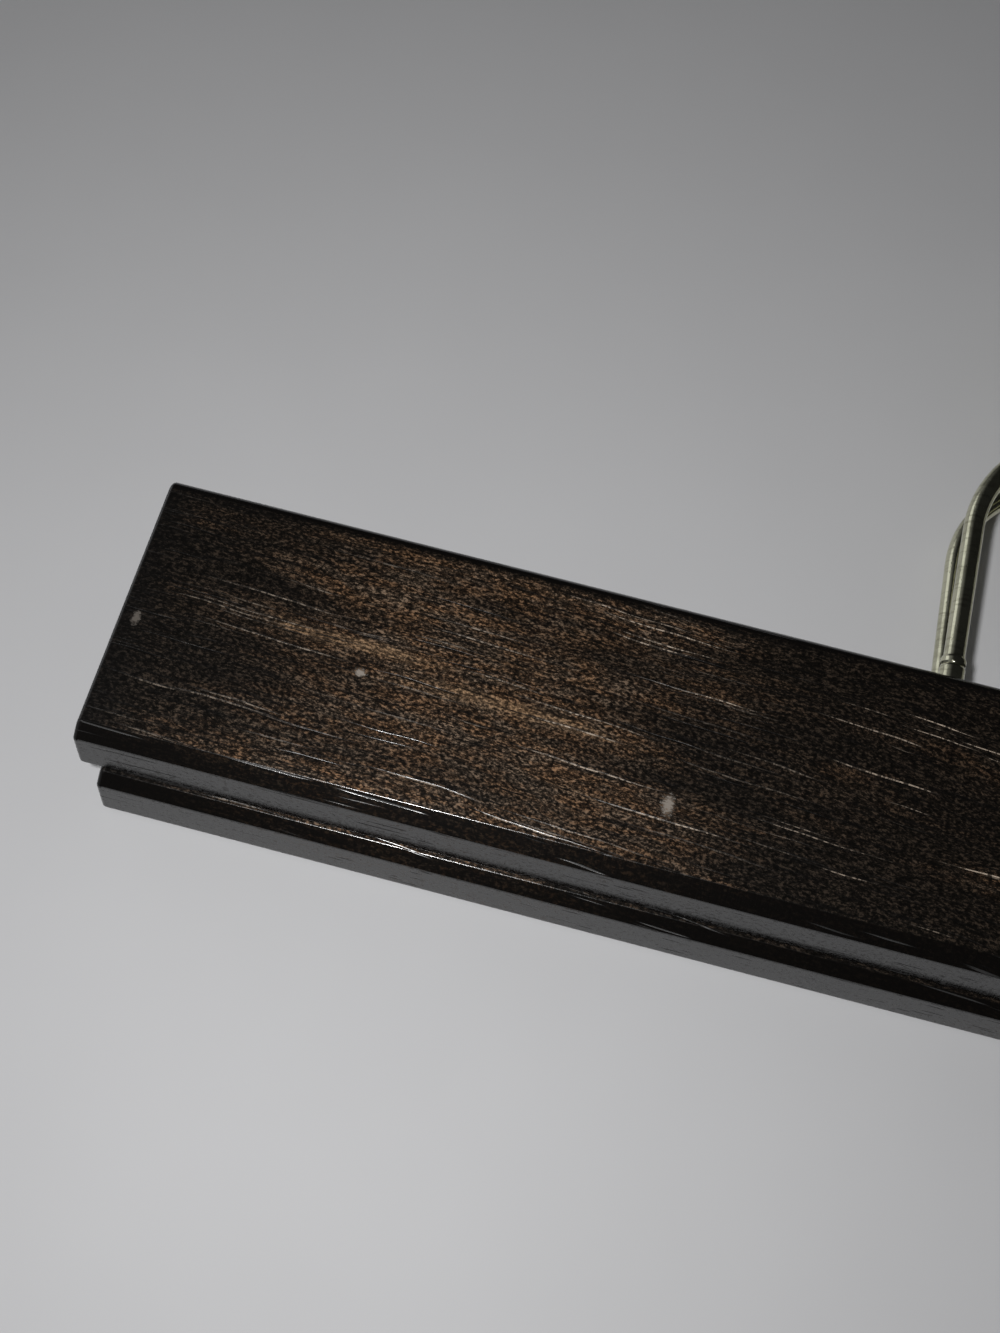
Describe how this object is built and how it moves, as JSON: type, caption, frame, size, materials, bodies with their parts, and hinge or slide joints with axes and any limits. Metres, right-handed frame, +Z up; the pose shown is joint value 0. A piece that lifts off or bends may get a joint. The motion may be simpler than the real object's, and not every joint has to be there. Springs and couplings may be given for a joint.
{
  "type": "trouser hanger",
  "caption": "Dark wooden trouser hanger: felt-lined jaws on a sprung hinge, wire bails that are squeezed to open them, and a swivel hook between the bails.",
  "frame": {"origin": "on the back jaw's flat back, on the hook's centre line, level with the middle of the front jaw", "axes": "+X along the jaws, +Y towards the hook, +Z up from the surface that the hanger lies on"},
  "size_m": [0.3015, 0.1454, 0.0187],
  "materials": {
    "stained_wood": "dark stain, satin lacquer",
    "felt": "dark pressed felt",
    "brass_wire": "bright brass plate",
    "plated_steel": "brass plated",
    "spring_steel": "bright wire"
  },
  "bodies": {
    "back_half": {"back_jaw": "stained_wood", "back_felt": "felt", "back_bail": "brass_wire", "back_left_ferrule": "brass_wire", "back_right_ferrule": "brass_wire", "back_left_leaf": "plated_steel", "back_right_leaf": "plated_steel", "back_leaf_screws": "plated_steel", "hinge_rod": "plated_steel", "rod_cap_left": "plated_steel", "rod_cap_right": "plated_steel", "spring_left": "spring_steel", "spring_right": "spring_steel"},
    "front_half": {"front_jaw": "stained_wood", "front_felt": "felt", "front_bail": "brass_wire", "front_left_ferrule": "brass_wire", "front_right_ferrule": "brass_wire", "front_left_leaf": "plated_steel", "front_right_leaf": "plated_steel", "front_leaf_screws": "plated_steel"},
    "yoke": {"hook_yoke": "plated_steel", "hook_washer": "plated_steel"},
    "hook": {"hook": "brass_wire"}
  },
  "joints": [
    {"name": "clamp_hinge", "type": "hinge", "parent": "back_half", "child": "front_half", "pos_m": [0, 0.02475, 0.00935], "axis": [-1, 0, 0], "range_deg": [0, 8.5], "stiffness_Nm_per_rad": 0.5, "springref_deg": -20.05, "deforming": ["spring_left", "spring_right"]},
    {"name": "yoke_hinge", "type": "hinge", "parent": "back_half", "child": "yoke", "pos_m": [0, 0.02475, 0.00935], "axis": [-1, 0, 0], "range_deg": [0, 4.25]},
    {"name": "hook_swivel", "type": "hinge", "parent": "yoke", "child": "hook", "pos_m": [0, 0.05475, 0.00935], "axis": [0, 1, 0], "continuous": true}
  ],
  "couplings": [
    {"joint": "yoke_hinge", "follows": "clamp_hinge", "ratio": 0.5}
  ]
}
